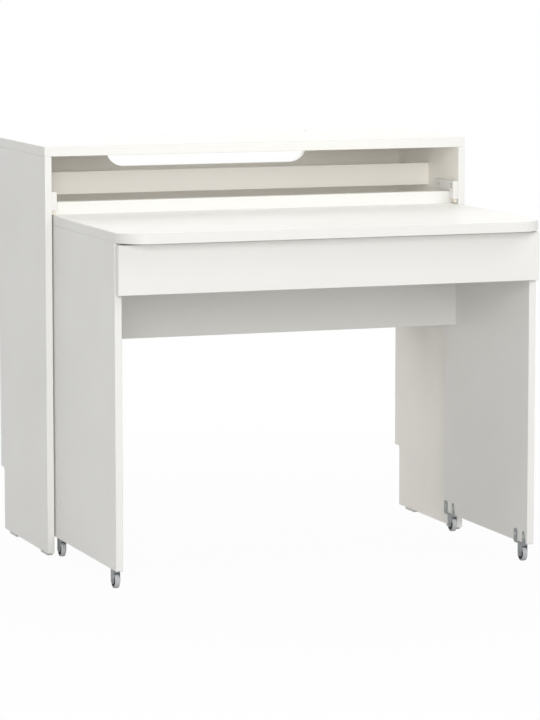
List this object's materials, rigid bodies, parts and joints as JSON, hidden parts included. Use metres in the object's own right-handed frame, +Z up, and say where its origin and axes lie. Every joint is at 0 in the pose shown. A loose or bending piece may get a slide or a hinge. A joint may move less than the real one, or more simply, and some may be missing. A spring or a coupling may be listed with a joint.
{
  "type": "kids desk",
  "caption": "Wall console with a wheeled desk that rolls out of it, full-width drawer, rear upstand, stop brackets and a cable cut-out.",
  "frame": {"origin": "centre of the footprint on the floor, with the desk rolled out", "axes": "+X across the width, +Y from the sitter to the wall, +Z up"},
  "size_m": [1, 0.881, 0.91],
  "materials": {
    "white_board": "satin white melamine-faced board",
    "hardboard": "white lacquered hardboard",
    "beech": "raw beech",
    "white_plastic": "moulded white plastic",
    "runner_plastic": "moulded off-white plastic",
    "grey_plastic": "moulded light grey plastic",
    "hub_plastic": "moulded black plastic",
    "tyre_rubber": "light grey soft tread",
    "foot_plastic": "moulded cream plastic",
    "bumper_rubber": "brown rubber",
    "clear_rubber": "soft translucent dots",
    "caster_steel": "zinc-plated pressed steel",
    "zinc_steel": "zinc-plated steel",
    "cam_zinc": "zinc die casting"
  },
  "bodies": {
    "console": {"console_top": "white_board", "console_side_left": "white_board", "console_side_right": "white_board", "console_back_panel": "white_board", "console_rail": "white_board", "stop_bracket_left": "white_plastic", "stop_bracket_right": "white_plastic", "bracket_feet": "foot_plastic", "stop_bumpers": "bumper_rubber", "bracket_screws": "zinc_steel", "console_glides": "grey_plastic", "console_dowels": "beech", "console_cams": "cam_zinc", "console_cam_bolts": "zinc_steel"},
    "desk": {"desk_top": "white_board", "desk_side_left": "white_board", "desk_side_right": "white_board", "modesty_panel": "white_board", "rear_upstand": "white_board", "upstand_screws": "zinc_steel", "desk_dowels": "beech", "desk_cams": "cam_zinc", "desk_cam_bolts": "zinc_steel", "runner_left": "runner_plastic", "runner_right": "runner_plastic", "runner_screws": "zinc_steel", "drawer_bumpers": "clear_rubber", "caster_axles": "caster_steel", "caster_screws": "zinc_steel", "caster_bracket_front_left": "caster_steel", "caster_bracket_rear_left": "caster_steel", "caster_bracket_front_right": "caster_steel", "caster_bracket_rear_right": "caster_steel"},
    "drawer": {"drawer_front": "white_board", "drawer_side_left": "white_board", "drawer_side_right": "white_board", "drawer_back": "white_board", "drawer_bottom": "hardboard", "drawer_cams": "cam_zinc", "drawer_cam_bolts": "zinc_steel", "drawer_back_screws": "zinc_steel"},
    "wheel_front_left": {"wheel_hub_front_left": "hub_plastic", "tyre_front_left": "tyre_rubber"},
    "wheel_rear_left": {"wheel_hub_rear_left": "hub_plastic", "tyre_rear_left": "tyre_rubber"},
    "wheel_front_right": {"wheel_hub_front_right": "hub_plastic", "tyre_front_right": "tyre_rubber"},
    "wheel_rear_right": {"wheel_hub_rear_right": "hub_plastic", "tyre_rear_right": "tyre_rubber"}
  },
  "joints": [
    {"name": "desk_slide", "type": "slide", "parent": "console", "child": "desk", "axis": [0, 1, 0], "range_m": [0, 0.318]},
    {"name": "drawer_slide", "type": "slide", "parent": "desk", "child": "drawer", "axis": [0, -1, 0], "range_m": [0, 0.26]},
    {"name": "wheel_spin_front_left", "type": "hinge", "parent": "desk", "child": "wheel_front_left", "pos_m": [-0.4704, -0.3448, 0.016], "axis": [1, 0, 0], "continuous": true},
    {"name": "wheel_spin_rear_left", "type": "hinge", "parent": "desk", "child": "wheel_rear_left", "pos_m": [-0.4704, 0.0515, 0.016], "axis": [1, 0, 0], "continuous": true},
    {"name": "wheel_spin_front_right", "type": "hinge", "parent": "desk", "child": "wheel_front_right", "pos_m": [0.4704, -0.3448, 0.016], "axis": [1, 0, 0], "continuous": true},
    {"name": "wheel_spin_rear_right", "type": "hinge", "parent": "desk", "child": "wheel_rear_right", "pos_m": [0.4704, 0.0515, 0.016], "axis": [1, 0, 0], "continuous": true}
  ]
}
